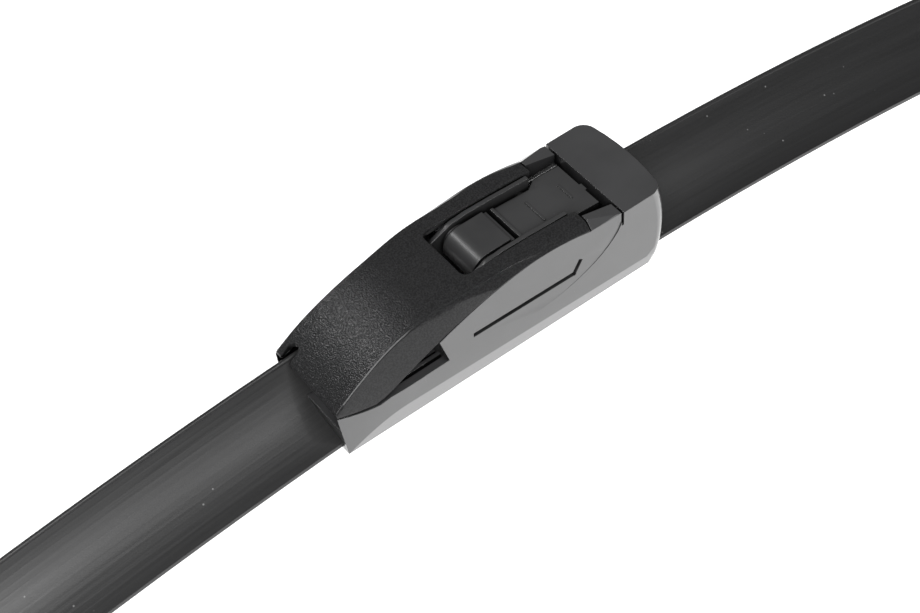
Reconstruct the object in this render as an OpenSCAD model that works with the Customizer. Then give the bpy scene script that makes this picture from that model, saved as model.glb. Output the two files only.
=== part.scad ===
// Flat wiper blade with a centre connector for a hooked arm.
// Millimetres. The origin is the middle of the pivot pin. X runs along the blade,
// Y across it with the spoiler's crest on the +Y side, and Z away from the glass.

/* [Blade] */
// Length along the bowed rails
blade_len = 400; // [300:1:700]
// Radius of the free bow, measured at the rails' top face
bow_radius = 720; // [500:10:1400]

/* [Rails and wiping rubber] */
// Width of one spring rail
rail_w = 5.2; // [4:0.1:6.4]
// Thickness of a rail
rail_t = 0.85; // [0.6:0.01:1.1]
// Space between the two rails
rail_gap = 3; // [2.4:0.1:3.6]
// Width of the rubber's head above and below the rails
head_w = 5; // [4.2:0.1:6]
// Height of the rubber's head above the rails
head_h = 1.25; // [0.9:0.05:1.5]
// Depth of the wiping rubber below the rails
rubber_drop = 9; // [7.5:0.1:11]
// Width of the rubber's body just above the lip
rubber_body_w = 4.6; // [3.6:0.1:5.4]
// Thickness of the wiping lip
lip_t = 0.6; // [0.5:0.05:0.8]
// Thickness of the neck that lets the lip flip over
neck_t = 0.9; // [0.7:0.05:1.1]

/* [Spoiler] */
// Width of the spoiler over its two edges
spoiler_w = 19.6; // [18:0.1:20]
// Height of the crest above the rails' top face
crest_h = 10.1; // [8:0.1:10.6]
// Distance of the crest from the middle, towards +Y
crest_y = 6.8; // [5:0.1:7.2]
// How far the windward face is hollowed below a straight line
hollow = 1.7; // [1:0.1:2.2]
// Thickness of the spoiler's edges
edge_t = 1; // [0.8:0.05:1.3]

/* [Connector] */
// Width over the widest line of the skirt
conn_w = 24.4; // [23.4:0.1:29.4]
// Distance from the blade's middle to the front of the nose
nose_reach = 42.7; // [40:0.1:52]
// Distance from the blade's middle to the rounded end of the end block
end_reach = 38.2; // [36.8:0.1:46]
// Height of the pin's axis above the rails' top face
pin_h = 15.7; // [13:0.1:16.4]
// Distance of the pin from the blade's middle, towards the nose
pin_back = 2.5; // [2:0.1:3]
// Height of the end block's flat top above the connector's level
block_h = 5.9; // [5.2:0.1:6.6]
// Depth of the skirt below the rails' underside
skirt_drop = 2.55; // [2.3:0.05:3.1]
// Wall thickness of the moulded parts
wall = 1.6; // [1.3:0.05:1.95]
// Height of the skirt's widest line above its lower edge
crease_h = 4.6; // [3.8:0.1:5.6]

/* [Ramp cover] */
// Height of the cover's crest line above the connector's level
rim_h = 8.9; // [8.6:0.1:10.4]
// Height of the nose's front edge above the skirt's lower edge
nose_h = 12; // [10:0.1:12.6]
// Half width of the flat top of the arms
top_half = 10.2; // [9.8:0.1:10.5]
// Half width of the window
window_half = 6.7; // [6.6:0.05:7]
// Distance from the blade's middle to the front edge of the window
window_reach = 9.9; // [9.7:0.1:11.4]
// Distance from the blade's middle to the ends of the two arms
arm_reach = 17.1; // [16.6:0.1:17.4]

/* [Adapter] */
// Radius of the barrel that the arm's hook goes round
barrel_r = 4; // [3.3:0.05:4.2]
// Length of the barrel between the cheeks, which is the hook's width
hook_w = 9; // [7.5:0.1:9.6]
// Thickness of a cheek
cheek_t = 1; // [0.8:0.05:1.2]
// Radius of the pivot pin
pin_r = 2; // [1.6:0.05:2.4]

/* [Lever] */
// Half width of the lever's plate
plate_half = 6.2; // [5.1:0.1:6.3]
// Thickness of the lever
lever_t = 1.5; // [1.2:0.05:1.8]
// Radius of the lever's trunnions
trunnion_r = 1.1; // [0.9:0.05:1.3]

/* [Hidden] */
$fn = 64;

// Clearance between fixed pieces, and between pieces that move
fit = 0.05;
running = 0.05;
side_play = 0.3;
cut = 30;

// The blade: heights here are above the rails' top face
rail_out = rail_gap / 2 + rail_w;
lip_hold = 0.6;
spoiler_floor = -rail_t - lip_hold;
half_len = blade_len / 2;
rail_end = half_len - 3;
spoiler_end = half_len - 14;
cap_len = 22;
clip_at = half_len - 9;
clip_len = 4;
sheet_t = 0.9;
claw_grip = 1.6;
ear_in = window_half + 0.2;
ear_t = 1;

// The connector: its heights are above a level this far over the rails' top face
level_h = 11.7;
deck_z = -level_h;
pin_z = pin_h - level_h;
skirt_z = deck_z - rail_t - skirt_drop;
half_w = conn_w / 2;
skirt_half = half_w - 0.9;
wall_half = half_w - 0.4;
nose_half = spoiler_w / 2 + 0.9;
nose_z = skirt_z + nose_h;
crease_z = skirt_z + crease_h;
crease_slope = 2.4;
front_wall_z = nose_z - 1.5;
mid_start = 22.9 - nose_reach;
block_x = 25.3;
seam = 0.5;
block_from = block_x + 0.2;
finger_slot = 1.1;
recess = 0.25;
recess_low = skirt_z + 8;
bulge = 1.75;
corner_r = 3.2;
end_round = 50;
end_from = block_x + 4;
nose_round = 61;
nose_lean = 9;
up_lean = (half_w - wall_half) / (block_h - crease_z);
down_lean = (half_w - skirt_half) / (crease_z - skirt_z);
mouth_depth = 5.4;
mouth_gap = 0.15;
floor_z = deck_z + 2.6;
floor_t = 1;
well_half = half_w - 0.2 - wall;
bracket_half = 16;
latch_x = [-5, 3];

// The cover's curves
crest_x = -8;
ramp_power = 2.45;
arm_fall = 1.1;
edge_crest_x = 5;
edge_fall = 1.6;
nose_lip = 1;
edge_dip_x = -34;
edge_dip_z = nose_z - 2.1;
edge_power = 1.74;
edge_top_z = rim_h - 1.1;
stations = 30;
crown = 0.25;

// The adapter and lever: their places are from the pin's axis
cheek_out = window_half - 0.3;
cheek_in = cheek_out - cheek_t;
bore_r = pin_r + running;
boss_r = barrel_r + 0.5;
insert_floor = -barrel_r;
rest_gap = 0.05;
cheek_front = window_reach - pin_back - 1.3;
cheek_back = 18.1;
tail_x = 23.9;
trunnion_x = 15.7;
trunnion_z = 0.4;
// the lever slopes down to its plate, and its places are from the trunnions
lever_slope = 4.3;
lever_top = 1.7;
lever_front = 8.2;
neck_end = 1.5;
flare = 2.4;
plate_end = 10.5;
pin_half = ear_in + ear_t + 0.4;

function mirrored(half) = concat(half, [for (i = [len(half) - 1:-1:0]) [half[i][0], -half[i][1]]]);

// Points on a shallow arc from a to b that dips to one side, both ends left out
function dip(a, b, depth, n) = [for (i = [1:n - 1])
    let (t = i / n, d = b - a, m = norm(d), s = 4 * depth * t * (1 - t))
    [a[0] + d[0] * t - d[1] / m * s, a[1] + d[1] * t + d[0] / m * s]];

// Points on a circle's arc, from one angle to the other
function arc(c, r, from, to, n) = [for (i = [0:n])
    let (t = from + (to - from) * i / n) c + r * [cos(t), sin(t)]];

function bow_angle(s) = s / bow_radius * 180 / PI;

// Turns a section drawn as [height above the rails, Y] round the bow, between two places along it
module bow_sweep(from, to) {
    translate([0, 0, deck_z - bow_radius])
        rotate([-90, 0, 0])
            rotate([0, 0, bow_angle(from) - 90])
                rotate_extrude(angle = bow_angle(to) - bow_angle(from), $fn = 720)
                    translate([bow_radius, 0]) children();
}

// Puts children at a place along the bow, with their origin on the rails' top face
module on_bow(s) {
    translate([0, 0, deck_z - bow_radius])
        rotate([0, bow_angle(s), 0])
            translate([0, 0, bow_radius]) children();
}

// A rectangle of a section, from its heights and its reach in Y
module slab(low, high, from, to) {
    translate([low, from]) square([high - low, to - from]);
}

module at_pin() {
    translate([-pin_back, 0, pin_z]) children();
}

module both_sides() {
    children();
    mirror([0, 1, 0]) children();
}

module rail(side) {
    inner = rail_gap / 2;
    color([0.55, 0.56, 0.58])
        bow_sweep(-rail_end, rail_end)
            mirror([0, side < 0 ? 1 : 0]) slab(-rail_t, 0, inner, inner + rail_w);
}

function rubber_half() = let (low = -rail_t - fit, web = rail_gap / 2 - 0.15, h = head_w / 2,
    b = rubber_body_w / 2,
    tip = -rail_t - rubber_drop) [
    [head_h, h - 0.5], [head_h - 0.4, h], [fit, h], [fit, web], [low, web], [low, h + 0.2],
    [low - 0.8, h + 0.2], [low - 1.3, neck_t / 2 + 0.3], [low - 1.5, neck_t / 2], [low - 2.2, neck_t / 2],
    [low - 2.5, b], [low - 3.1, b], [low - 3.6, b * 0.5], [tip + 1.2, lip_t / 2 + 0.1], [tip, lip_t / 2]];

module wiper_rubber() {
    color([0.06, 0.06, 0.065])
        bow_sweep(-rail_end + 0.5, rail_end - 0.5) polygon(mirrored(rubber_half()));
}

// The aerofoil's outline as [height, Y]: near edge, hollow face, crest, far face, far edge, underside.
// A grown outline is the same shape with a clearance all round.
function spoiler_outline(grow = 0) = let (w = spoiler_w / 2 + grow, top = edge_t - rail_t / 2 + grow,
    low = top - edge_t - 2 * grow, c = crest_h + grow, r = 0.55 + grow, face = [c - r, crest_y - r],
    back = [c - r, crest_y + r], foot = [top + 0.7, w - 0.8]) concat(
    [[low, -w], [top, -w]],
    dip([top, -w], face, hollow, 14), [face],
    arc([c - r, crest_y], r, -60, 60, 6), [back],
    dip(back, foot, 0.4, 6), [foot, [top, w], [low, w]],
    [[spoiler_floor - grow, w - 1.8], [spoiler_floor - grow, -w + 1.8]]);

// The grown outline as a straight prism along X
module outline_prism(grow, long) {
    rotate([90, 0, 90]) linear_extrude(long) polygon([for (p = spoiler_outline(grow)) [p[1], p[0]]]);
}

module spoiler_section() {
    difference() {
        polygon(spoiler_outline());
        slab(-rail_t - fit, fit, -rail_out - fit, rail_out + fit);
        slab(-rail_t - 4, 0, -rail_out + claw_grip, rail_out - claw_grip);
        slab(0, head_h + 0.1, -head_w / 2 - 0.1, head_w / 2 + 0.1);
    }
}

module spoiler(side) {
    inner = side < 0 ? nose_reach - mouth_depth - 1 : end_reach - mouth_depth;
    color([0.1, 0.1, 0.105])
        bow_sweep(side < 0 ? -spoiler_end : inner, side < 0 ? -inner : spoiler_end) spoiler_section();
}

// Sheet steel on the rails: raised over the rubber's head, with a claw round each outer edge
function saddle_half() = let (h = head_w / 2 + 0.3, lift = head_h + 0.15) [
    [lift + sheet_t, h + sheet_t * 0.6], [fit + sheet_t, h + sheet_t + 0.5],
    [fit + sheet_t, rail_out + fit + sheet_t], [fit, rail_out + fit + sheet_t], [fit, h + 0.5], [lift, h]];

module saddle_section() {
    polygon(mirrored(saddle_half()));
}

module claw_section() {
    low = -rail_t - fit - sheet_t;
    mirror([0, 1]) claw_side(low);
    claw_side(low);
}

module claw_side(low) {
    slab(low, fit + sheet_t, rail_out + fit, rail_out + fit + sheet_t);
    slab(low, low + sheet_t, rail_out - claw_grip, rail_out + fit + sheet_t);
}

module bridge_bracket() {
    claw_w = 5;
    claw_inset = 0.6;
    ear_low = deck_z + sheet_t * 0.5;
    color([0.62, 0.63, 0.65]) {
        difference() {
            union() {
                bow_sweep(-bracket_half, bracket_half) saddle_section();
                for (x = [-bracket_half + claw_inset, bracket_half - claw_inset - claw_w])
                    bow_sweep(x, x + claw_w) claw_section();
                both_sides() ear(ear_low);
            }
            at_pin() rotate([90, 0, 0]) cylinder(r = pin_r + 0.02, h = 2 * cut, center = true);
        }
    }
}

// One upstanding ear: a tapered plate with a round top about the pin
module ear(low) {
    foot = 7;
    head = pin_r + 1;
    translate([0, ear_in + ear_t, 0]) rotate([90, 0, 0]) linear_extrude(ear_t) {
        translate([-pin_back, pin_z]) circle(r = head);
        polygon([[-foot, low], [foot, low], [foot, low + 2.2], [head - pin_back, pin_z],
            [-head - pin_back, pin_z], [-foot, low + 2.2]]);
    }
    translate([-foot, rail_out - 0.6, low]) cube([2 * foot, ear_in + ear_t - rail_out + 0.6, sheet_t * 0.6]);
}

// A rivet: the shank with a low head outside each ear
module pivot_pin() {
    color([0.7, 0.71, 0.73])
        at_pin() rotate([90, 0, 0]) {
            cylinder(r = pin_r, h = 2 * pin_half - 0.4, center = true);
            for (end = [-1, 1])
                translate([0, 0, end * (pin_half - 0.1)]) cylinder(r = pin_r + 0.7, h = 0.6, center = true);
        }
}

// Heights of the cover's crease and of its lower edge along X
function crease_at(x) = x > crest_x ? rim_h - arm_fall * pow((x - crest_x) / (arm_reach - crest_x), 3)
    : rim_h - (rim_h - nose_z) * pow((crest_x - x) / (crest_x + nose_reach), ramp_power);
function edge_at(x) =
    x > edge_crest_x ? edge_top_z - edge_fall * pow((x - edge_crest_x) / (arm_reach - edge_crest_x), 2)
    : x > edge_dip_x ? edge_top_z - (edge_top_z - edge_dip_z)
        * pow((edge_crest_x - x) / (edge_crest_x - edge_dip_x), edge_power)
    : edge_dip_z + (nose_z - nose_lip - edge_dip_z) * pow((edge_dip_x - x) / (edge_dip_x + nose_reach), 1.5);
function ease(t) = (1 - cos(180 * max(0, min(1, t)))) / 2;
function top_half_at(x) = top_half - 1.1 * ease((crest_x - x) / 16) + 0.5 * ease((crest_x - 19 - x) / 15)
    - 0.3 * ease((x - 4) / 13);
function outer_half_at(x) = let (t = min(1, (x + nose_reach) / 13.5))
    nose_half - 0.7 + (wall_half - 0.15 - nose_half + 0.7) * sin(90 * t);

// The housing's side view: nose, low front walls, mid walls under the cover, end block, rounded end
function side_outline() = let (steps = 14, span = arm_reach - mid_start) concat(
    [[-nose_reach + 1, skirt_z]],
    [for (i = [0:6]) let (x = -nose_reach + (edge_dip_x + nose_reach) * i / 6) [x, edge_at(x) - fit]],
    [[-31.5, front_wall_z], [mid_start + 1.8, front_wall_z]],
    [for (i = [0:steps]) let (x = mid_start + span * i / steps) [x, edge_at(x) - fit]],
    [[arm_reach + 0.2, edge_at(arm_reach) - fit], [arm_reach + 0.2, edge_at(arm_reach)]],
    [[block_x - seam, block_h], [end_reach + 1, block_h], [end_reach + 1, skirt_z]]);

// The recess that sweeps down from the end block's corner and runs forward under the spring finger
function recess_outline() = let (low = recess_low, high = rim_h) concat(
    [[mid_start - 4, high], [mid_start - 4, low], [0, low]],
    [for (i = [1:14]) let (a = 90 * i / 14) [block_x * sin(a), low + (block_h - low) * (1 - cos(a))]],
    [[block_x, block_h + 0.01], [block_x, high]]);

module in_side_view(from, to) {
    translate([0, to, 0]) rotate([90, 0, 0]) linear_extrude(to - from) children();
}

// Half width of the housing's outside at a place along it and a height: it leans both ways
// from the widest line, which slopes down a little towards the end block
function side_half(x, z) = min(half_w - (z - crease_z) * up_lean,
    half_w + (z - crease_z + x * tan(crease_slope)) * down_lean);

// Plan of the end block at one height: straight side, rounded corner, and an end that is slightly curved
function end_ring(z) = let (
    w = side_half(end_reach - corner_r, z) + 0.02,
    middle = (block_h + skirt_z) / 2,
    tip = end_reach - bulge * pow((z - middle) / (block_h - middle), 2),
    base = tip - end_round,
    corner_y = w - corner_r,
    corner_x = base + sqrt(pow(end_round - corner_r, 2) - pow(corner_y, 2)),
    turn = atan2(corner_y, corner_x - base),
    half = concat([[end_from - 1, w + 0.3]],
        arc([corner_x, corner_y], corner_r, 90, turn, 6),
        arc([base, 0], end_round, turn * 2 / 3, 0, 2)))
    concat(half, [for (i = [len(half) - 2:-1:0]) [half[i][0], -half[i][1]]]);

// The end block's outside: it bulges towards the middle of its height
module end_form() {
    tall = block_h - skirt_z;
    levels = 8;
    zs = concat([skirt_z - 1], [for (i = [0:levels]) skirt_z + tall * i / levels], [block_h + 1]);
    rings = [for (z = zs) end_ring(z)];
    n = len(rings[0]);
    top = len(zs) - 1;
    points = [for (i = [0:top]) for (p = rings[i]) [p[0], p[1], zs[i]]];
    sides = [for (i = [0:top - 1]) for (j = [0:n - 1]) let (k = (j + 1) % n, a = i * n, b = a + n)
        each [[a + j, a + k, b + k], [a + j, b + k, b + j]]];
    floor_face = [for (j = [n - 1:-1:0]) j];
    top_face = [for (j = [0:n - 1]) top * n + j];
    polyhedron(points, concat(sides, [floor_face, top_face]), convexity = 4);
}

// The moulded outside: side view, end block, and sides that lean both ways from the widest line
module housing_blank() {
    reach_up = 40;
    reach_down = 12;
    intersection() {
        in_side_view(-cut, cut) polygon(side_outline());
        union() {
            translate([-nose_reach - 1, -cut, -cut]) cube([nose_reach + 1 + end_from, 2 * cut, 2 * cut]);
            end_form();
        }
        translate([-60, 0, crease_z]) rotate([90, 0, 90]) linear_extrude(120)
            polygon([[-half_w - reach_down * up_lean, -reach_down],
                [half_w + reach_down * up_lean, -reach_down],
                [half_w - reach_up * up_lean, reach_up], [-half_w + reach_up * up_lean, reach_up]]);
        translate([0, 0, crease_z]) rotate([0, crease_slope, 0]) translate([-60, 0, 0]) rotate([90, 0, 90])
            linear_extrude(120) polygon([[-half_w + reach_down * down_lean, -reach_down],
                [half_w - reach_down * down_lean, -reach_down], [half_w + reach_up * down_lean, reach_up],
                [-half_w - reach_up * down_lean, reach_up]]);
    }
}

// What is cut off one side so that the nose narrows in a long curve towards its front edge
module nose_side_cut() {
    touch_x = -nose_reach + 14.7;
    translate([touch_x, half_w, crease_z]) rotate([atan(up_lean), 0, 0]) rotate([0, nose_lean, 0])
        difference() {
        translate([-40, -8, -40]) cube([40, 20, 80]);
        translate([0, -nose_round, 0]) cylinder(r = nose_round, h = 90, center = true, $fn = 360);
    }
}

// What is cut off one side wall above the spring finger: deepest at the top, fading out below
module wall_recess() {
    low_y = half_w - (recess_low - crease_z) * up_lean;
    lean = atan2(low_y - wall_half + recess, block_h - recess_low);
    intersection() {
        in_side_view(wall_half - 3, half_w + 1) polygon(recess_outline());
        translate([0, low_y, recess_low]) rotate([lean, 0, 0]) translate([-60, 0, -20]) cube([120, 10, 60]);
    }
}

// The raised top of one wall block: it carries on the arm's chamfer and slopes down to the end block
module block_top() {
    from = arm_reach + 0.2;
    long = block_x - seam - from;
    high = crease_at(arm_reach);
    intersection() {
        translate([from, 0, 0]) rotate([90, 0, 90]) linear_extrude(long)
            polygon([[8.5, block_h - 1], [wall_half - 0.3, block_h - 1],
                [wall_half - 0.3, edge_at(arm_reach)],
                [top_half_at(arm_reach), high], [8.5, high + 0.1]]);
        in_side_view(-cut, cut)
            polygon([[from - 1, -1], [from - 1, high + 0.3], [from, high + 0.1], [from + long, block_h],
                [from + long, -1]]);
    }
}

// A straight slot through the side walls between two points of the side view
module wall_slot(a, b) {
    d = b - a;
    translate([a[0], 0, a[1]]) rotate([0, -atan2(d[1], d[0]), 0])
        translate([-finger_slot / 2, -cut, -finger_slot / 2])
            cube([norm(d) + finger_slot, 2 * cut, finger_slot]);
}

// The long passage for rails, rubber and bracket, open along the underside
module blade_passage() {
    span = 60;
    bow_sweep(-span, span) {
        slab(-rail_t - 2 * fit, 2 * fit, -rail_out - 2 * fit, rail_out + 2 * fit);
        slab(-14, 0, -rail_out + claw_grip, rail_out - claw_grip);
    }
    bow_sweep(-nose_reach + wall, end_reach - wall - 1)
        slab(0, floor_z - deck_z, -rail_out - 1.6, rail_out + 1.6);
    bow_sweep(-bracket_half - 1, bracket_half + 1)
        slab(-rail_t - sheet_t - 4 * fit, 1, -rail_out - 1.6, rail_out + 1.6);
}

module connector_base() {
    color([0.13, 0.13, 0.135]) difference() {
        union() {
            difference() {
                housing_blank();
                both_sides() nose_side_cut();
                hollow_space();
                both_sides() wall_recess();
            }
            inner_ribs();
            both_sides() block_top();
        }
        blade_passage();
        bow_sweep(-nose_reach - 2, -nose_reach + mouth_depth + 1.6) polygon(spoiler_outline(mouth_gap));
        bow_sweep(end_reach - mouth_depth - 0.6, end_reach + 4) polygon(spoiler_outline(mouth_gap));
        adapter_well();
        // the L-shaped slot that frees the spring finger in each side wall
        wall_slot([-11.5, -2], [12.7, -2.7]);
        wall_slot([12.7, -2.7], [14.2, -0.3]);
        // the seam between the wall blocks and the end block
        translate([block_x - seam, -cut, block_h - 3.4]) cube([seam, 2 * cut, 10]);
        both_sides() translate([latch_x[0] - 0.3, well_half - 0.1, 0.6])
            cube([latch_x[1] - latch_x[0] + 0.6, 0.9, 1.8]);
    }
}

// The housing is a thin-walled box under the cover and inside the end block
module hollow_space() {
    front_half = spoiler_w / 2 + mouth_gap;
    top_z = floor_z + floor_t;
    // under the cover, behind the nose
    translate([-31, -well_half, top_z]) cube([31 + arm_reach + 0.3, 2 * well_half, 40]);
    translate([-nose_reach - 1, -front_half, top_z]) cube([nose_reach - 28, 2 * front_half, 40]);
    // between the wall blocks, with a step on each side
    translate([arm_reach, -8.5, 3.5]) cube([block_x - arm_reach, 17, 10]);
    translate([arm_reach, -window_half - 0.2, top_z]) cube([block_x - arm_reach, 2 * window_half + 0.4, 20]);
    // inside the end block
    translate([block_from + wall, -well_half + 0.6, deck_z])
        cube([end_reach - bulge - 1.2 - block_from - 2 * wall, 2 * well_half - 1.2, block_h - wall - deck_z]);
}

// Ribs along the front floor, and the cross rib that the adapter rests on
module inner_ribs() {
    rib_top = pin_z + insert_floor - rest_gap;
    both_sides() {
        translate([-30, 8.4, floor_z]) cube([12, 0.8, front_wall_z - 0.8 - floor_z]);
        translate([-30, 6.6, floor_z]) cube([12, 0.8, front_wall_z - 1.8 - floor_z]);
    }
    translate([19.6, -window_half - 0.4, floor_z]) cube([1.4, 2 * window_half + 0.8, rib_top - floor_z]);
}

// The opening in the floor for the ears, the barrel and the hook's lower leg
module adapter_well() {
    translate([-11, -ear_in - ear_t - 0.7, deck_z + 1]) cube([22, 2 * (ear_in + ear_t + 0.7), 10]);
}

// One ring of the cover's wall at X: the outside up and over, then the inside back
function cover_ring(x) =
    let (w = outer_half_at(x), c = min(top_half_at(x), w - 0.15), zl = edge_at(x), zc = crease_at(x),
        zi = zc - (x > -30 ? wall : min(wall, 0.8 * (zc - zl))),
        m = [(w + c) / 2 + 0.12, (zl + zc) / 2 + 0.1],
        up = [[w, zl], m, [c + 0.12, zc - 0.1], [c - 0.15, zc + 0.02],
            [c * 0.72, zc + crown * 0.6], [c * 0.36, zc + crown * 0.92]],
        inside = [[w - wall, zl], [m[0] - wall - 0.1, (zl + zi) / 2 - 0.07], [c - wall * 0.9, zi],
            [c - wall - 0.2, zi + 0.03], [c * 0.68, zi + crown * 0.6], [c * 0.34, zi + crown * 0.92]])
    concat(up, [[0, zc + crown]], [for (i = [5:-1:0]) [-up[i][0], up[i][1]]],
        [for (i = [0:5]) [-inside[i][0], inside[i][1]]], [[0, zi + crown]], [for (i = [5:-1:0]) inside[i]]);

module cover_shell() {
    span = arm_reach + nose_reach;
    xs = [for (i = [0:stations]) -nose_reach + span * i / stations];
    rings = [for (x = xs) cover_ring(x)];
    n = len(rings[0]);
    points = [for (i = [0:stations]) for (p = rings[i]) [xs[i], p[0], p[1]]];
    sides = [for (i = [0:stations - 1]) for (j = [0:n - 1]) let (k = (j + 1) % n, a = i * n)
        each [[a + j, a + n + k, a + k], [a + j, a + n + j, a + n + k]]];
    // each end face is a strip between the outside and the inside
    half = n / 2;
    function strip(a) = [for (j = [0:half - 2]) [a + j, a + j + 1, a + n - 2 - j, a + n - 1 - j]];
    far = stations * n;
    faces = concat(sides, strip(0), [for (f = strip(far)) [f[3], f[2], f[1], f[0]]]);
    polyhedron(points, faces, convexity = 8);
}

// The legs that hook the cover into the side walls
module cover_legs() {
    both_sides() {
        translate([latch_x[0], well_half - 1.3, 0.5])
            cube([latch_x[1] - latch_x[0], 1.1, edge_at(latch_x[0]) + 0.4]);
        translate([latch_x[0] + 0.5, well_half - 0.4, 1]) cube([latch_x[1] - latch_x[0] - 1, 0.8, 1]);
    }
}

module ramp_cover() {
    corner = 1.5;
    notch_r = 1.2;
    color([0.16, 0.16, 0.165]) difference() {
        union() {
            cover_shell();
            cover_legs();
        }
        translate([-window_reach + corner, -window_half, -5]) cube([60, 2 * window_half, 20]);
        translate([-window_reach, -window_half + corner, -5]) cube([10, 2 * (window_half - corner), 20]);
        both_sides() translate([-window_reach + corner, window_half - corner, -5])
            cylinder(r = corner, h = 20);
        translate([-nose_reach + 2, crest_y, -20]) cylinder(r = notch_r, h = 40);
        translate([-nose_reach - 1, crest_y - notch_r, -20]) cube([3, 2 * notch_r, 40]);
        on_bow(-nose_reach + 3) translate([-6, 0, 0]) outline_prism(2 * mouth_gap, 12);
    }
}

// A cheek seen from the side, from the pin's axis, with the hole for the lever's trunnion
module cheek_profile() {
    crest = block_h - pin_z + 2.8;
    difference() {
        union() {
            circle(r = boss_r);
            polygon([[-cheek_front, -1.6], [-cheek_front, crest - 2.4], [-3, crest - 1.1],
                [-0.3, crest - 0.3], [2.5, crest], [9, crest - 0.2], [13.5, crest - 0.5],
                [cheek_back, crest - 0.7], [cheek_back, -0.9], [cheek_back + 1, -1.7], [tail_x, -2], [tail_x, insert_floor],
                [12, insert_floor], [2.5, 0.8 - boss_r], [-2.5, 0.8 - boss_r]]);
        }
        translate([trunnion_x, trunnion_z]) circle(r = trunnion_r + running);
    }
}

// The swivelling insert: barrel with a flat behind it, two cheeks, and the floor that joins them
module arm_adapter() {
    floor_top = insert_floor + 1.4;
    floor_half = cheek_in + 0.2;
    web_x = 5.9;
    color([0.12, 0.12, 0.125]) at_pin() difference() {
        union() {
            rotate([90, 0, 0]) cylinder(r = barrel_r, h = hook_w, center = true);
            translate([0, -hook_w / 2, -barrel_r]) cube([4.3, hook_w, 2 * barrel_r]);
            translate([4, -hook_w / 2, barrel_r - 1.4]) cube([1.7, hook_w, 1.4]);
            rotate([90, 0, 0]) cylinder(r = pin_r + 1.1, h = 2 * cheek_in + 0.4, center = true);
            both_sides() in_side_view(cheek_in, cheek_out) cheek_profile();
            translate([web_x - 2, -floor_half, insert_floor]) cube([tail_x - web_x + 2, 2 * floor_half, 1.4]);
            translate([web_x - 0.3, -hook_w / 2, floor_top - 0.2])
                cube([1.1, hook_w, barrel_r - 0.7 - floor_top + 0.2]);
            translate([5.5, -hook_w / 2, barrel_r - 1.4]) cube([0.4, hook_w, 0.7]);
            translate([tail_x - 1.2, -floor_half, floor_top - 0.2]) cube([1.2, 2 * floor_half, 0.8]);
        }
        rotate([90, 0, 0]) cylinder(r = bore_r, h = 2 * cut, center = true);
    }
}

// The press lever: raised front edge, narrow arm, flared plate, tab, and trunnions in the cheeks
module release_lever() {
    narrow = hook_w / 2 + 0.1;
    low = lever_top - lever_t;
    full = neck_end + flare;
    color([0.12, 0.12, 0.125]) at_pin() translate([trunnion_x, 0, trunnion_z]) {
        rotate([0, lever_slope, 0]) {
            translate([0, 0, low]) linear_extrude(lever_t) {
                polygon([[-lever_front, -narrow], [neck_end, -narrow], [full, -plate_half],
                    [plate_end, -plate_half], [plate_end, plate_half], [full, plate_half],
                    [neck_end, narrow], [-lever_front, narrow]]);
                translate([plate_end - 0.5, -2]) square([1, 1.8]);
            }
            translate([-lever_front, -narrow, low]) cube([0.8, 2 * narrow, lever_t + 0.5]);
            both_sides() translate([-lever_front + 1.2, narrow - 1, low - 1])
                cube([lever_front + neck_end - 1, 0.9, 1.5]);
        }
        rotate([90, 0, 0]) cylinder(r = trunnion_r, h = 2 * cheek_out - 0.4, center = true);
    }
}

// A crimped steel clip across both rails
module rail_clip(side) {
    from = side * clip_at - clip_len / 2;
    color([0.62, 0.63, 0.65]) bow_sweep(from, from + clip_len) {
        saddle_section();
        claw_section();
    }
}

// A moulded cap over each end: the aerofoil's outline, closed and rounded off at the tip
module end_cap(side) {
    skin = 0.9;
    tip = 3.5;
    inner = cap_len - tip;
    grip = cap_len - (half_len - spoiler_end) - tip + 0.5;
    color([0.13, 0.13, 0.135])
        on_bow(side * (half_len - cap_len + tip)) mirror([side < 0 ? 1 : 0, 0, 0]) difference() {
            intersection() {
                outline_prism(skin, cap_len - tip + 3);
                in_side_view(-cut, cut) polygon(concat([[0, -5], [0, 20], [inner - 13, 20]],
                    arc([inner - 13, -2.5], 14.2, 90, -10, 14)));
            }
            translate([-1, 0, 0]) outline_prism(0.12, grip + 1);
            translate([-1, -rail_out - 1.3, -rail_t - sheet_t - 0.2])
                cube([inner - 0.5, 2 * rail_out + 2.6, rail_t + sheet_t + 2.9]);
            translate([-1, -rail_out + claw_grip, -14]) cube([inner - 0.5, 2 * (rail_out - claw_grip), 14]);
        }
}

// Everything is drawn from the blade's middle and placed so that the pin's axis is at the origin
translate([pin_back, 0, -pin_z]) {
    wiper_rubber();
    rail(-1);  // rail_front
    rail(1);  // rail_rear
    bridge_bracket();
    pivot_pin();
    connector_base();
    ramp_cover();
    arm_adapter();
    release_lever();
    spoiler(-1);  // spoiler_left
    spoiler(1);  // spoiler_right
    rail_clip(-1);  // rail_clip_left
    rail_clip(1);  // rail_clip_right
    end_cap(-1);  // end_cap_left
    end_cap(1);  // end_cap_right
}
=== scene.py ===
"""Looks of a flat wiper blade: rubber, steel and moulded plastic finishes, rounded edges, floor, light and camera."""

import math

import bmesh
import bpy
from bpy.props import FloatProperty, FloatVectorProperty, PointerProperty
from mathutils import Euler, Matrix, Vector
from mathutils.bvhtree import BVHTree


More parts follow.
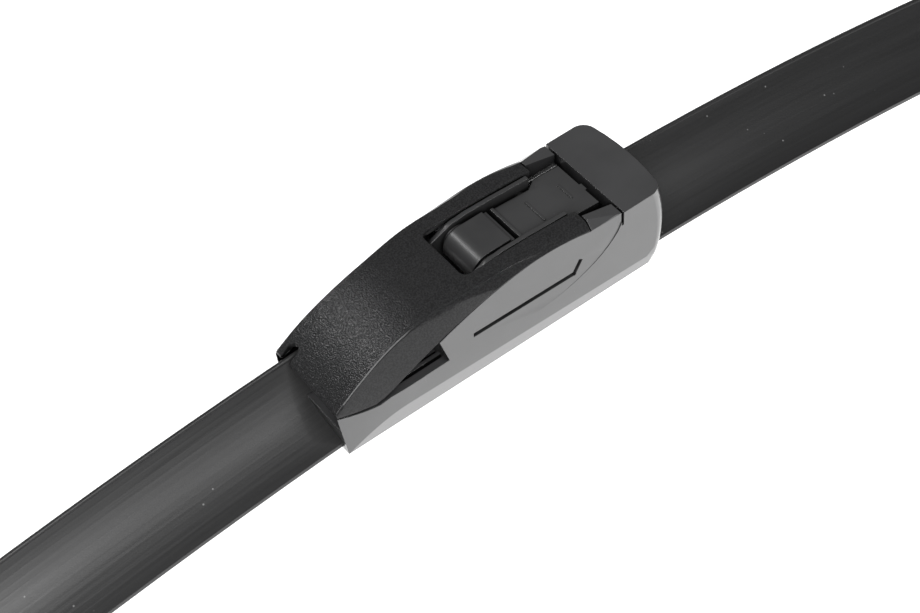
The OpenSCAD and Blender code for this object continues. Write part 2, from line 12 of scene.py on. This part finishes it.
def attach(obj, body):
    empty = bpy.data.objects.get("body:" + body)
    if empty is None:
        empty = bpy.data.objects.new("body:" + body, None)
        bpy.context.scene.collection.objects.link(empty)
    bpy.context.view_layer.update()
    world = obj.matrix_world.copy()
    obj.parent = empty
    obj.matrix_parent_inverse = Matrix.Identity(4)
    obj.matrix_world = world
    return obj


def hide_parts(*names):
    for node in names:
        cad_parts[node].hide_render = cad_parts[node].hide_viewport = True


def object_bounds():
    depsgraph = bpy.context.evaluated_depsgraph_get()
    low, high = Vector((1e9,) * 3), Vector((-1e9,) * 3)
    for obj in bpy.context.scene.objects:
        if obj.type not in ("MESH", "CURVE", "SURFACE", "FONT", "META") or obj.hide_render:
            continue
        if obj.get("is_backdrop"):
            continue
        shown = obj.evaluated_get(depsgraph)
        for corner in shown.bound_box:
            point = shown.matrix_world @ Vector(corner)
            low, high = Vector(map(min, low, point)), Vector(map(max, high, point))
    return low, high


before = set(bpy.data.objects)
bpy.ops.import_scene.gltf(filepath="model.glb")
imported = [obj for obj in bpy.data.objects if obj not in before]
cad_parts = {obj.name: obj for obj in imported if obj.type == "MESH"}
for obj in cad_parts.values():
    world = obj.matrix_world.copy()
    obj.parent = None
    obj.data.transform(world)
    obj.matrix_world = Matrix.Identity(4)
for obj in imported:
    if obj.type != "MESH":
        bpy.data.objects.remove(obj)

bl_info = {
    "name": "Flat wiper blade",
    "version": (1, 0, 0),
    "blender": (4, 2, 0),
    "location": "View3D > Sidebar > Wiper blade",
    "description": "Finishes, rounded edges, floor, light and camera for a flat wiper blade",
    "category": "Object",
}

MM = 0.001
WHITE = (1.0, 1.0, 1.0)

# The free bow of the blade, in metres: its radius at the rails' top face, and where that face is highest
BOW_RADIUS = 720 * MM
BOW_X = 2.5 * MM
BOW_Z = -15.7 * MM

# Each end cap is straight from its mouth, which is this far along the rails. A thin wall lies between its near lip
# and its sloping face: points across it as Y and height above the rails, its thickness, its start and its end
CAP_MOUTH = 181.5 * MM
CAP_WALL = [(y * MM, up * MM) for y, up in (
    (-9.0, 1.70), (-8.6, 1.85), (-8.2, 1.93), (-7.6, 2.04), (-7.0, 2.17), (-6.4, 2.33),
    (-5.8, 2.51), (-5.2, 2.72), (-4.6, 2.95), (-4.1, 3.13), (-3.7, 3.26))]
CAP_WALL_THICK = 0.5 * MM
CAP_WALL_SPAN = (0.05 * MM, 17.6 * MM)

# The press lever: the middle of its trunnions, its slope down to the plate, and its top above the trunnions
LEVER_PLACE = (15.7 * MM, 0.0, 0.4 * MM)
LEVER_SLOPE = math.radians(4.3)
LEVER_TOP = 1.7 * MM

# The lever's two bars: how far along it from the trunnions, and where each starts and ends across it
LEVER_BARS = {
    "lever_bar_front": (-1.2 * MM, -3.8 * MM, 2.1 * MM),
    "lever_bar_rear": (6.9 * MM, -2.3 * MM, 1.9 * MM),
}
BAR_SUNK = 0.1 * MM

# Smooth copies: points this close are joined, faces this near to flat become one, and edges over the crease angle
# of a copy stay visible as edges
WELD = 0.002 * MM
FLAT = math.radians(0.3)
HOUSING_CREASE = math.radians(14)
COVER_CREASE = math.radians(26)
SMALL_PART_CREASE = math.radians(32)

# Painted shade: how far neighbouring faces reach where a spot's colour is darkened as painted shade, and the free
# shares of its surroundings that count as closed and as open
PLASTIC_PAINTED_SHADE = (6 * MM, 0.2, 0.9)
COVER_PAINTED_SHADE = (5 * MM, 0.2, 0.9)
RUBBER_PAINTED_SHADE = (20 * MM, 0.5, 0.95)
SHELTERED_MATT = 0.45  # added to the rubber's roughness where it is sheltered

# Dust: the width of the cells that may hold a speck each, and a speck's width
PLASTIC_DUST = (2.2 * MM, 0.10 * MM)
RUBBER_DUST = (3.2 * MM, 0.24 * MM)
RUBBER_DUST_COLOUR = (0.16, 0.16, 0.16)

CLOUDS = 90.0  # clouds to a metre in the gloss of moulded plastic
GRAIN_DEPTH = 0.10 * MM
GRAIN_FADE = (0.15, 0.45)  # how far a face turns sideways where the cover's grain starts and ends fading
SIDE_ROUGHNESS = 0.10  # of the cover's smooth sides
STREAK = 0.55 * MM
STREAK_DEPTH = 0.02 * MM
STEEL_GRAIN = 2500.0  # lines to a metre

# Soft square lamps, each aimed at the connector: place and width in metres, power in watts
LAMPS = {
    "key_lamp": ((-1.15, -1.35, 1.60), 1.6, 75.0),
    "ramp_lamp": ((-0.65, 0.76, 1.12), 0.2, 5.0),
    "hollow_lamp": ((0.20, -0.66, 1.36), 0.4, 2.2),
    "crease_lamp": ((0.50, -0.62, 1.26), 0.08, 3.6),
}
WORLD_LIGHT = 0.18  # strength of the world that lights the blade
WORLD_SEEN = 1.0  # its strength to the camera
FLOOR_HALF = 0.36  # half the floor's width, in metres
FLOOR_GLOW_SEEN = 0.66  # added to the floor for the camera
FLOOR_GLOW_MIRRORED = 0.38  # added to the floor in reflections


# ---------------------------------------------------------------- settings


def colour(name, description, default):
    """A colour setting."""
    return FloatVectorProperty(name=name, description=description, default=default, size=3, min=0, max=1,
                               subtype="COLOR")


def length(name, description, default):
    """A length setting in metres."""
    return FloatProperty(name=name, description=description, default=default, min=0, unit="LENGTH", precision=5)


def angle(name, description, degrees):
    """An angle setting, from its default in degrees."""
    return FloatProperty(name=name, description=description, default=math.radians(degrees), unit="ROTATION")


class WIPER_PG_finishes(bpy.types.PropertyGroup):
    """Colours and grain of the blade's materials."""

    spoiler_colour: colour("Spoiler", "Colour of the spoiler rubber", (0.012, 0.012, 0.0123))
    rubber_colour: colour("Wiping rubber", "Colour of the wiping rubber", (0.020, 0.020, 0.021))
    cover_colour: colour("Ramp cover", "Colour of the grained cover", (0.017, 0.017, 0.0175))
    housing_colour: colour("Housing", "Colour of the connector's base", (0.035, 0.035, 0.036))
    insert_colour: colour("Adapter", "Colour of the arm adapter", (0.030, 0.030, 0.0305))
    lever_colour: colour("Lever", "Colour of the press lever", (0.034, 0.034, 0.0345))
    cap_colour: colour("End caps", "Colour of the end caps", (0.024, 0.024, 0.025))
    steel_colour: colour("Steel", "Colour of the bare spring steel", (0.46, 0.46, 0.47))
    grain_size: length("Grain", "Width of one grain on the cover", 0.30 * MM)


class WIPER_PG_edges(bpy.types.PropertyGroup):
    """Radii of the rounded edges, and the size of the two bars on the lever."""

    cover_edge: length("Cover edges", "Radius of the ramp cover's edges", 0.30 * MM)
    insert_edge: length("Adapter edges", "Radius of the adapter's edges", 0.16 * MM)
    lever_edge: length("Lever edges", "Radius of the lever's edges", 0.18 * MM)
    cap_edge: length("Cap edges", "Radius of the end caps' edges", 0.30 * MM)
    bar_width: length("Bar width", "Width of a bar on the lever", 0.50 * MM)
    bar_height: length("Bar height", "How far a bar stands above the lever", 0.20 * MM)


class WIPER_PG_stage(bpy.types.PropertyGroup):
    """Camera and floor."""

    camera_place: FloatVectorProperty(name="Camera place", description="Where the camera stands", size=3,
                                      default=(-140.2 * MM, -188.65 * MM, 277.3 * MM), unit="LENGTH")
    camera_turn: angle("Turn", "The camera's turn from the blade's width", 35.868)
    camera_dip: angle("Dip", "How far down the camera looks", 51.3)
    camera_roll: angle("Roll", "The camera's roll", 2.897)
    lens: FloatProperty(name="Lens", description="Focal length on a 36 mm wide sensor, in mm", default=74.35, min=10)
    floor_colour: colour("Floor", "Colour of the floor", (0.90, 0.90, 0.90))


# ------------------------------------------------------------ shader wiring


class Signal:
    """An output socket of a node tree. Operators on it add Math nodes."""

    def __init__(self, wiring, socket):
        self.wiring = wiring
        self.socket = socket

    def __add__(self, other):
        return self.wiring.maths("ADD", self, other)

    def __sub__(self, other):
        return self.wiring.maths("SUBTRACT", self, other)

    def __rsub__(self, other):
        return self.wiring.maths("SUBTRACT", other, self)

    def __mul__(self, other):
        return self.wiring.maths("MULTIPLY", self, other)

    def __pow__(self, other):
        return self.wiring.maths("POWER", self, other)

    def __rpow__(self, other):
        return self.wiring.maths("POWER", other, self)

    __radd__ = __add__
    __rmul__ = __mul__

    def clamped(self):
        """This value kept between 0 and 1."""
        return self.wiring.add("ShaderNodeClamp", {}, {"Value": self}).out("Result")

    def ramped(self, low, high, start=0.0, end=1.0):
        """This value taken smoothly from low..high to start..end."""
        values = {"Value": self, "From Min": low, "From Max": high, "To Min": start, "To Max": end}
        return self.wiring.add("ShaderNodeMapRange", {"interpolation_type": "SMOOTHSTEP"}, values).out("Result")


class Node:
    """A node with its outputs by name or number."""

    def __init__(self, wiring, node):
        self.wiring = wiring
        self.node = node

    def out(self, key):
        """An output as a signal."""
        return Signal(self.wiring, self.node.outputs[key])


class Wiring:
    """A node tree being built."""

    def __init__(self, tree):
        self.tree = tree
        tree.nodes.clear()

    def add(self, kind, settings, inputs):
        """Adds a node of a kind: its settings first, then the value or link of each socket."""
        node = self.tree.nodes.new(kind)
        for name, value in settings.items():
            setattr(node, name, value)
        for key, value in inputs.items():
            if isinstance(value, Signal):
                self.tree.links.new(value.socket, node.inputs[key])
            else:
                node.inputs[key].default_value = value
        return Node(self, node)

    def maths(self, operation, *values):
        """A Math node on these values."""
        return self.add("ShaderNodeMath", {"operation": operation}, dict(enumerate(values))).out("Value")

    def place(self):
        """The surface point on the piece's own axes, in metres."""
        return self.add("ShaderNodeTexCoord", {}, {}).out("Object")

    def split(self, vector):
        """A vector's three coordinates."""
        parts = self.add("ShaderNodeSeparateXYZ", {}, {"Vector": vector})
        return parts.out("X"), parts.out("Y"), parts.out("Z")

    def vector(self, x, y, z):
        """Three values as a vector."""
        return self.add("ShaderNodeCombineXYZ", {}, {"X": x, "Y": y, "Z": z}).out("Vector")

    def scaled(self, vector, by):
        """A vector times three numbers."""
        return self.add("ShaderNodeVectorMath", {"operation": "MULTIPLY"}, {0: vector, 1: by}).out("Vector")

    def noise(self, vector, scale, detail, roughness=0.5):
        """Noise from 0 to 1 over a vector."""
        values = {"Vector": vector, "Scale": scale, "Detail": detail, "Roughness": roughness}
        return self.add("ShaderNodeTexNoise", {}, values).out("Fac")

    def specks(self, vector, spacing, size):
        """1 on scattered round specks, in some of the cells of a spacing, and 0 around them."""
        values = {"Vector": vector, "Scale": 1 / spacing, "Randomness": 1.0}
        cell = self.add("ShaderNodeTexVoronoi", {"feature": "F1"}, values)
        kept = self.add("ShaderNodeSeparateColor", {}, {"Color": cell.out("Color")}).out("Red")
        return cell.out("Distance").ramped(0.6 * size / spacing, size / spacing, 1.0, 0.0) * kept.ramped(0.55, 0.75)

    def blend(self, factor, first, second):
        """A colour between two colours."""
        return self.add("ShaderNodeMix", {"data_type": "RGBA"}, {0: factor, 6: first, 7: second}).out(2)

    # A mask for painted shade: the finishes darken their colours where it falls below 1
    def openness(self, reach, closed, open_share):
        """1 on open faces, down to 0 where faces within reach leave only the closed share of the surroundings free."""
        around = self.add("ShaderNodeAmbientOcclusion", {"samples": 12}, {"Distance": reach})
        return around.out("AO").ramped(closed, open_share)

    def bump(self, height, depth, under):
        """A normal with a bump of this height over the one under it. The depth is in metres."""
        values = {"Height": height, "Distance": depth, "Strength": 1.0, "Normal": under}
        return self.add("ShaderNodeBump", {}, values).out("Normal")

    def soft_edges(self, radius):
        """The normal with its edges rounded to a small radius."""
        return self.add("ShaderNodeBevel", {"samples": 6}, {"Radius": radius}).out("Normal")


class Paint(Wiring):
    """A material being built from nodes."""

    def __init__(self, name):
        self.material = bpy.data.materials.new(name)
        self.material.use_nodes = True
        super().__init__(self.material.node_tree)

    def lighter(self, shader, strength):
        """A shader with a plain white glow added."""
        glow = self.add("ShaderNodeEmission", {}, {"Color": rgba(WHITE), "Strength": strength}).out("Emission")
        return self.add("ShaderNodeAddShader", {}, {0: shader, 1: glow}).out("Shader")

    def finish(self, shader):
        """Closes the material with this shader."""
        self.add("ShaderNodeOutputMaterial", {}, {"Surface": shader})
        return self.material

    def surface(self, **values):
        """Closes the material with a Principled surface."""
        named = {key.replace("_", " "): value for key, value in values.items()}
        return self.finish(self.add("ShaderNodeBsdfPrincipled", {}, named).out("BSDF"))


def rgba(values, times=1.0):
    """A colour as four numbers, with its three channels times a level."""
    return (*(channel * times for channel in values), 1.0)


# ---------------------------------------------------------------- finishes


def moulded(name, base, roughness, coat=0.0, edge=0.20 * MM):
    """Smooth moulded plastic: a slightly cloudy gloss, a few dust specks, softened edges, and painted shade that
    darkens its colour in recesses.
    """
    paint = Paint(name)
    here = paint.place()
    cloud = paint.noise(here, CLOUDS, 3.0)
    tint = paint.blend(cloud.ramped(0.3, 0.7), rgba(base, 0.9), rgba(base, 1.1))
    dusty = paint.blend(paint.specks(here, *PLASTIC_DUST) * 0.5, tint, rgba(base, 4.0))
    # Painted shade: the colour darkens to a tenth of the base where other faces stand close, and the coat fades there
    lit = paint.openness(*PLASTIC_PAINTED_SHADE)
    gloss = cloud.ramped(0.25, 0.75, roughness * 0.93, roughness * 1.07)
    return paint.surface(Base_Color=paint.blend(lit, rgba(base, 0.1), dusty), Roughness=gloss,
                         Normal=paint.soft_edges(edge), Coat_Weight=lit * coat, Coat_Roughness=0.22)


def grained(name, base, roughness, grain):
    """Moulded plastic with a fine leather grain on its top, which fades out towards its smooth sides, and painted
    shade in its recesses.
    """
    paint = Paint(name)
    soft = paint.soft_edges(0.12 * MM)
    _, sideways, _ = paint.split(paint.add("ShaderNodeNewGeometry", {}, {}).out("Normal"))
    on_top = paint.maths("ABSOLUTE", sideways).ramped(*GRAIN_FADE, 1.0, 0.0)
    pits = paint.noise(paint.place(), 1.0 / grain, 1.5)
    normal = paint.bump(pits * on_top, GRAIN_DEPTH, soft)
    tint = paint.blend(pits.ramped(0.35, 0.65), rgba(base, 0.7), rgba(base, 1.3))
    # Painted shade: the colour darkens to a tenth of the base where other faces stand close
    shaded = paint.blend(paint.openness(*COVER_PAINTED_SHADE), rgba(base, 0.1), tint)
    gloss = pits.ramped(0.3, 0.7, roughness * 0.85, roughness * 1.15) * on_top + (1 - on_top) * SIDE_ROUGHNESS
    return paint.surface(Base_Color=shaded, Roughness=gloss, Normal=normal, Specular_IOR_Level=0.25)


def extruded_rubber(name, base, roughness):
    """Extruded rubber: fine streaks that run along the bowed blade, dust specks, and painted shade that darkens
    sheltered faces.
    """
    paint = Paint(name)
    here = paint.place()
    x, y, z = paint.split(here)
    across = x - BOW_X
    drop = z - (BOW_Z - BOW_RADIUS)
    outward = (across * across + drop * drop) ** 0.5
    along = paint.maths("ARCTAN2", across, drop) * BOW_RADIUS
    grooves = paint.vector(along * 0.02, y, outward)
    fine = paint.noise(grooves, 1.0 / STREAK, 3.0, 0.65)
    broad = paint.noise(grooves, 1.0 / (6 * STREAK), 2.0)
    tint = paint.blend(broad.ramped(0.3, 0.7), rgba(base, 0.88), rgba(base, 1.15))
    dusty = paint.blend(paint.specks(here, *RUBBER_DUST) * 0.9, tint, rgba(RUBBER_DUST_COLOUR))
    # Painted shade: the colour darkens to a fifth of the base where other faces stand close; the rubber also turns
    # rougher there
    lit = paint.openness(*RUBBER_PAINTED_SHADE)
    shaded = paint.blend(lit, rgba(base, 0.2), dusty)
    normal = paint.bump(fine, STREAK_DEPTH, paint.soft_edges(0.1 * MM))
    gloss = fine.ramped(0.3, 0.7, roughness * 0.9, roughness * 1.12) + (1 - lit) * SHELTERED_MATT
    return paint.surface(Base_Color=shaded, Roughness=gloss.clamped(), Normal=normal)


def steel(name, base, roughness):
    """Rolled steel with a faint grain along the strip."""
    paint = Paint(name)
    grain = paint.noise(paint.scaled(paint.place(), (0.04, 1.0, 1.0)), STEEL_GRAIN, 3.0)
    gloss = grain.ramped(0.3, 0.7, roughness * 0.8, roughness * 1.2)
    return paint.surface(Base_Color=rgba(base), Roughness=gloss, Metallic=1.0, Normal=paint.soft_edges(0.08 * MM))


def paint_node(name, material):
    """Puts a finish on every slot of a CAD node."""
    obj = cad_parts[name]
    if not obj.material_slots:
        obj.data.materials.append(material)
    for held in obj.material_slots:
        held.material = material


# ------------------------------------------------------------------ pieces


def new_piece(name, form, body, material):
    """Makes a piece from a bmesh, and lets it ride on a body."""
    mesh = bpy.data.meshes.new(name)
    form.to_mesh(mesh)
    form.free()
    mesh.materials.append(material)
    piece = bpy.data.objects.new(name, mesh)
    bpy.context.scene.collection.objects.link(piece)
    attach(piece, body)
    return piece


def round_edges(form, radius, crease, narrowest):
    """Rounds the edges over the crease angle, and brings back any point that this throws off the surface.

    An edge beside a face that is narrower than the given width stays as it is."""
    surface = BVHTree.FromBMesh(form)
    sharp = [edge for edge in form.edges if edge.is_manifold and edge.calc_face_angle() > crease
             and min(face.calc_area() for face in edge.link_faces) >= narrowest * edge.calc_length()]
    bmesh.ops.bevel(form, geom=sharp, offset=radius, offset_type="OFFSET", segments=2, profile=0.5,
                    affect="EDGES", clamp_overlap=False)
    thrown = 0.4 * radius
    for point in form.verts:
        nearest, _, _, gap = surface.find_nearest(point.co)
        if gap > thrown:
            point.co = nearest


def add_cap_wall(form, side):
    """Adds the thin wall that closes an end cap between its near lip and its sloping face."""
    turn = side * CAP_MOUTH / BOW_RADIUS
    up = Vector((math.sin(turn), 0.0, math.cos(turn)))
    outward = side * Vector((math.cos(turn), 0.0, -math.sin(turn)))
    mouth = Vector((BOW_X, 0.0, BOW_Z - BOW_RADIUS)) + BOW_RADIUS * up
    section = CAP_WALL + [(y, height - CAP_WALL_THICK) for y, height in reversed(CAP_WALL)]
    start, end = ([form.verts.new(mouth + along * outward + Vector((0.0, y, 0.0)) + height * up)
                   for y, height in section] for along in CAP_WALL_SPAN)
    walls = [form.faces.new(start), form.faces.new(end)]
    for i, point in enumerate(start):
        walls.append(form.faces.new((start[i - 1], point, end[i], end[i - 1])))
    bmesh.ops.recalc_face_normals(form, faces=walls)


def smooth_copy(node, body, material, radius, crease, cap_side=0):
    """Shows a smooth copy in a CAD node's place, with the edges over the crease angle rounded to a radius.

    An end cap also gets its wall: its side is -1 on the left and 1 on the right."""
    paint_node(node, material)
    form = bmesh.new()
    form.from_mesh(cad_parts[node].data)
    bmesh.ops.remove_doubles(form, verts=form.verts, dist=WELD)
    bmesh.ops.dissolve_limit(form, angle_limit=FLAT, verts=form.verts, edges=form.edges)
    if radius:
        round_edges(form, radius, crease, radius if cap_side else 0.0)
    if cap_side:
        add_cap_wall(form, cap_side)
    for face in form.faces:
        face.smooth = True
    piece = new_piece(node + "_smooth", form, body, material)
    piece.data.set_sharp_from_angle(angle=crease)
    flatter = piece.modifiers.new("flatter_faces", "WEIGHTED_NORMAL")
    flatter.keep_sharp = True
    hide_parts(node)


def lever_bar(name, along, near, far, settings, material):
    """A low bar across the lever, at a distance along it from the trunnions."""
    form = bmesh.new()
    bmesh.ops.create_cube(form, size=1.0)
    bmesh.ops.scale(form, vec=(settings.bar_width, far - near, settings.bar_height + BAR_SUNK), verts=form.verts)
    bmesh.ops.bevel(form, geom=list(form.edges), offset=0.25 * settings.bar_height, segments=2, profile=0.5,
                    affect="EDGES")
    middle = Vector((along, (near + far) / 2, LEVER_TOP + (settings.bar_height - BAR_SUNK) / 2))
    bmesh.ops.translate(form, vec=middle, verts=form.verts)
    turn = Matrix.Translation(LEVER_PLACE) @ Matrix.Rotation(LEVER_SLOPE, 4, "Y")
    bmesh.ops.transform(form, matrix=turn, verts=form.verts)
    new_piece(name, form, "lever", material)


# --------------------------------------------------------------- operators


class WIPER_OT_rubber(bpy.types.Operator):
    """Finishes the wiping rubber and the two spoilers"""

    bl_idname = "wiper.rubber"
    bl_label = "Rubber"

    def execute(self, context):
        chosen = context.scene.wiper_finishes
        paint_node("wiper_rubber", extruded_rubber("wiping_rubber", chosen.rubber_colour, roughness=0.5))
        spoiler = extruded_rubber("spoiler_rubber", chosen.spoiler_colour, roughness=0.40)
        for name in ("spoiler_left", "spoiler_right"):
            paint_node(name, spoiler)
        return {"FINISHED"}


class WIPER_OT_steel(bpy.types.Operator):
    """Finishes the rails, their clips, the bracket and the pin"""

    bl_idname = "wiper.steel"
    bl_label = "Steel parts"

    def execute(self, context):
        chosen = context.scene.wiper_finishes
        spring = steel("spring_steel", chosen.steel_colour, roughness=0.3)
        pressed = steel("pressed_steel", chosen.steel_colour, roughness=0.4)
        rivet = steel("rivet_steel", chosen.steel_colour, roughness=0.25)
        for name in ("rail_front", "rail_rear"):
            paint_node(name, spring)
        for name in ("rail_clip_left", "rail_clip_right", "bridge_bracket"):
            paint_node(name, pressed)
        paint_node("pivot_pin", rivet)
        return {"FINISHED"}


class WIPER_OT_connector(bpy.types.Operator):
    """Shows the connector's base and its ramp cover with smooth faces"""

    bl_idname = "wiper.connector"
    bl_label = "Connector"

    def execute(self, context):
        chosen = context.scene.wiper_finishes
        edges = context.scene.wiper_edges
        base = moulded("housing_plastic", chosen.housing_colour, roughness=0.3, coat=1.0)
        smooth_copy("connector_base", "blade", base, 0.0, HOUSING_CREASE)
        cover = grained("cover_plastic", chosen.cover_colour, roughness=0.20, grain=chosen.grain_size)
        smooth_copy("ramp_cover", "blade", cover, edges.cover_edge, COVER_CREASE)
        return {"FINISHED"}


class WIPER_OT_insert(bpy.types.Operator):
    """Shows the arm adapter and the press lever with rounded edges, and adds the lever's two bars"""

    bl_idname = "wiper.insert"
    bl_label = "Adapter and lever"

    def execute(self, context):
        chosen = context.scene.wiper_finishes
        edges = context.scene.wiper_edges
        insert = moulded("insert_plastic", chosen.insert_colour, roughness=0.36)
        smooth_copy("arm_adapter", "adapter", insert, edges.insert_edge, SMALL_PART_CREASE)
        lever = moulded("lever_plastic", chosen.lever_colour, roughness=0.38)
        smooth_copy("release_lever", "lever", lever, edges.lever_edge, SMALL_PART_CREASE)
        for name, (along, near, far) in LEVER_BARS.items():
            lever_bar(name, along, near, far, edges, lever)
        return {"FINISHED"}


class WIPER_OT_end_caps(bpy.types.Operator):
    """Shows the two end caps with rounded edges and closed near sides"""

    bl_idname = "wiper.end_caps"
    bl_label = "End caps"

    def execute(self, context):
        radius = context.scene.wiper_edges.cap_edge
        cap = moulded("cap_plastic", context.scene.wiper_finishes.cap_colour, roughness=0.4)
        for name, side in (("end_cap_left", -1), ("end_cap_right", 1)):
            smooth_copy(name, "blade", cap, radius, SMALL_PART_CREASE, side)
        return {"FINISHED"}


class WIPER_OT_stage(bpy.types.Operator):
    """Builds the floor, the lights, the world and the camera"""

    bl_idname = "wiper.stage"
    bl_label = "Stage"

    def execute(self, context):
        settings = context.scene.wiper_stage
        self.floor(context.scene, settings)
        self.lights(context.scene)
        self.world(context.scene)
        self.camera(context.scene, settings)
        context.scene.view_settings.view_transform = "Standard"
        return {"FINISHED"}

    def floor(self, scene, settings):
        """A pale square floor at the height of the blade's lowest point."""
        low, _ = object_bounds()
        corners = [(x * FLOOR_HALF, y * FLOOR_HALF, low[2]) for x, y in ((-1, -1), (1, -1), (1, 1), (-1, 1))]
        mesh = bpy.data.meshes.new("floor")
        mesh.from_pydata(corners, [], [(0, 1, 2, 3)])
        floor = bpy.data.objects.new("floor", mesh)
        scene.collection.objects.link(floor)
        paint = Paint("floor")
        ray = paint.add("ShaderNodeLightPath", {}, {})
        mirrored = (ray.out("Is Glossy Ray") + ray.out("Is Transmission Ray")).clamped()
        plain = paint.add("ShaderNodeBsdfDiffuse", {}, {"Color": rgba(settings.floor_colour)}).out("BSDF")
        in_mirrors = paint.lighter(plain, FLOOR_GLOW_MIRRORED)
        seen = paint.lighter(plain, FLOOR_GLOW_SEEN)
        unseen = paint.add("ShaderNodeMixShader", {}, {0: mirrored, 1: plain, 2: in_mirrors}).out("Shader")
        shown = paint.add("ShaderNodeMixShader", {}, {0: ray.out("Is Camera Ray"), 1: unseen, 2: seen}).out("Shader")
        floor.data.materials.append(paint.finish(shown))
        floor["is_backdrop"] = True

    def lights(self, scene):
        """The soft lamps."""
        for name, (place, width, power) in LAMPS.items():
            lamp = bpy.data.lights.new(name, "AREA")
            lamp.shape = "SQUARE"
            lamp.size = width
            lamp.energy = power
            obj = bpy.data.objects.new(name, lamp)
            obj.location = place
            obj.rotation_euler = (-Vector(place)).to_track_quat("-Z", "Y").to_euler()
            scene.collection.objects.link(obj)

    def world(self, scene):
        """A world that is white to the camera and a dim grey to the object."""
        world = bpy.data.worlds.new("studio")
        scene.world = world
        world.use_nodes = True
        wiring = Wiring(world.node_tree)
        ray = wiring.add("ShaderNodeLightPath", {}, {})
        dim, white = (wiring.add("ShaderNodeBackground", {}, {"Color": rgba(WHITE), "Strength": strength}).out(0)
                      for strength in (WORLD_LIGHT, WORLD_SEEN))
        mixed = wiring.add("ShaderNodeMixShader", {}, {0: ray.out("Is Camera Ray"), 1: dim, 2: white}).out("Shader")
        wiring.add("ShaderNodeOutputWorld", {}, {"Surface": mixed})

    def camera(self, scene, settings):
        """The camera at the photograph's angle."""
        data = bpy.data.cameras.new("camera")
        data.sensor_width = 36.0
        data.lens = settings.lens
        data.clip_start = 0.01
        camera = bpy.data.objects.new("camera", data)
        look = Euler((math.pi / 2 - settings.camera_dip, 0.0, -settings.camera_turn)).to_matrix()
        look = look @ Matrix.Rotation(-settings.camera_roll, 3, "Z")
        camera.matrix_world = Matrix.Translation(Vector(settings.camera_place)) @ look.to_4x4()
        scene.collection.objects.link(camera)
        scene.camera = camera


class WIPER_PT_panel(bpy.types.Panel):
    """Settings and steps of the wiper blade"""

    bl_label = "Wiper blade"
    bl_idname = "WIPER_PT_panel"
    bl_space_type = "VIEW_3D"
    bl_region_type = "UI"
    bl_category = "Wiper blade"

    def draw(self, context):
        column = self.layout.column()
        for group in (context.scene.wiper_finishes, context.scene.wiper_edges, context.scene.wiper_stage):
            for name in group.__annotations__:
                column.prop(group, name)
        for step in STEPS:
            column.operator(step.bl_idname)


STEPS = (WIPER_OT_rubber, WIPER_OT_steel, WIPER_OT_connector, WIPER_OT_insert, WIPER_OT_end_caps, WIPER_OT_stage)
CLASSES = (WIPER_PG_finishes, WIPER_PG_edges, WIPER_PG_stage, *STEPS, WIPER_PT_panel)


def register():
    """Registers the classes and the scene's settings."""
    for each in CLASSES:
        bpy.utils.register_class(each)
    bpy.types.Scene.wiper_finishes = PointerProperty(type=WIPER_PG_finishes)
    bpy.types.Scene.wiper_edges = PointerProperty(type=WIPER_PG_edges)
    bpy.types.Scene.wiper_stage = PointerProperty(type=WIPER_PG_stage)


def unregister():
    """Takes the settings and classes away again."""
    del bpy.types.Scene.wiper_stage
    del bpy.types.Scene.wiper_edges
    del bpy.types.Scene.wiper_finishes
    for each in reversed(CLASSES):
        bpy.utils.unregister_class(each)


def main():
    """Builds everything around the frame."""
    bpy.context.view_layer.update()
    register()
    bpy.ops.wiper.rubber()
    bpy.ops.wiper.steel()
    bpy.ops.wiper.connector()
    bpy.ops.wiper.insert()
    bpy.ops.wiper.end_caps()
    bpy.ops.wiper.stage()


if __name__ == "__main__":
    main()
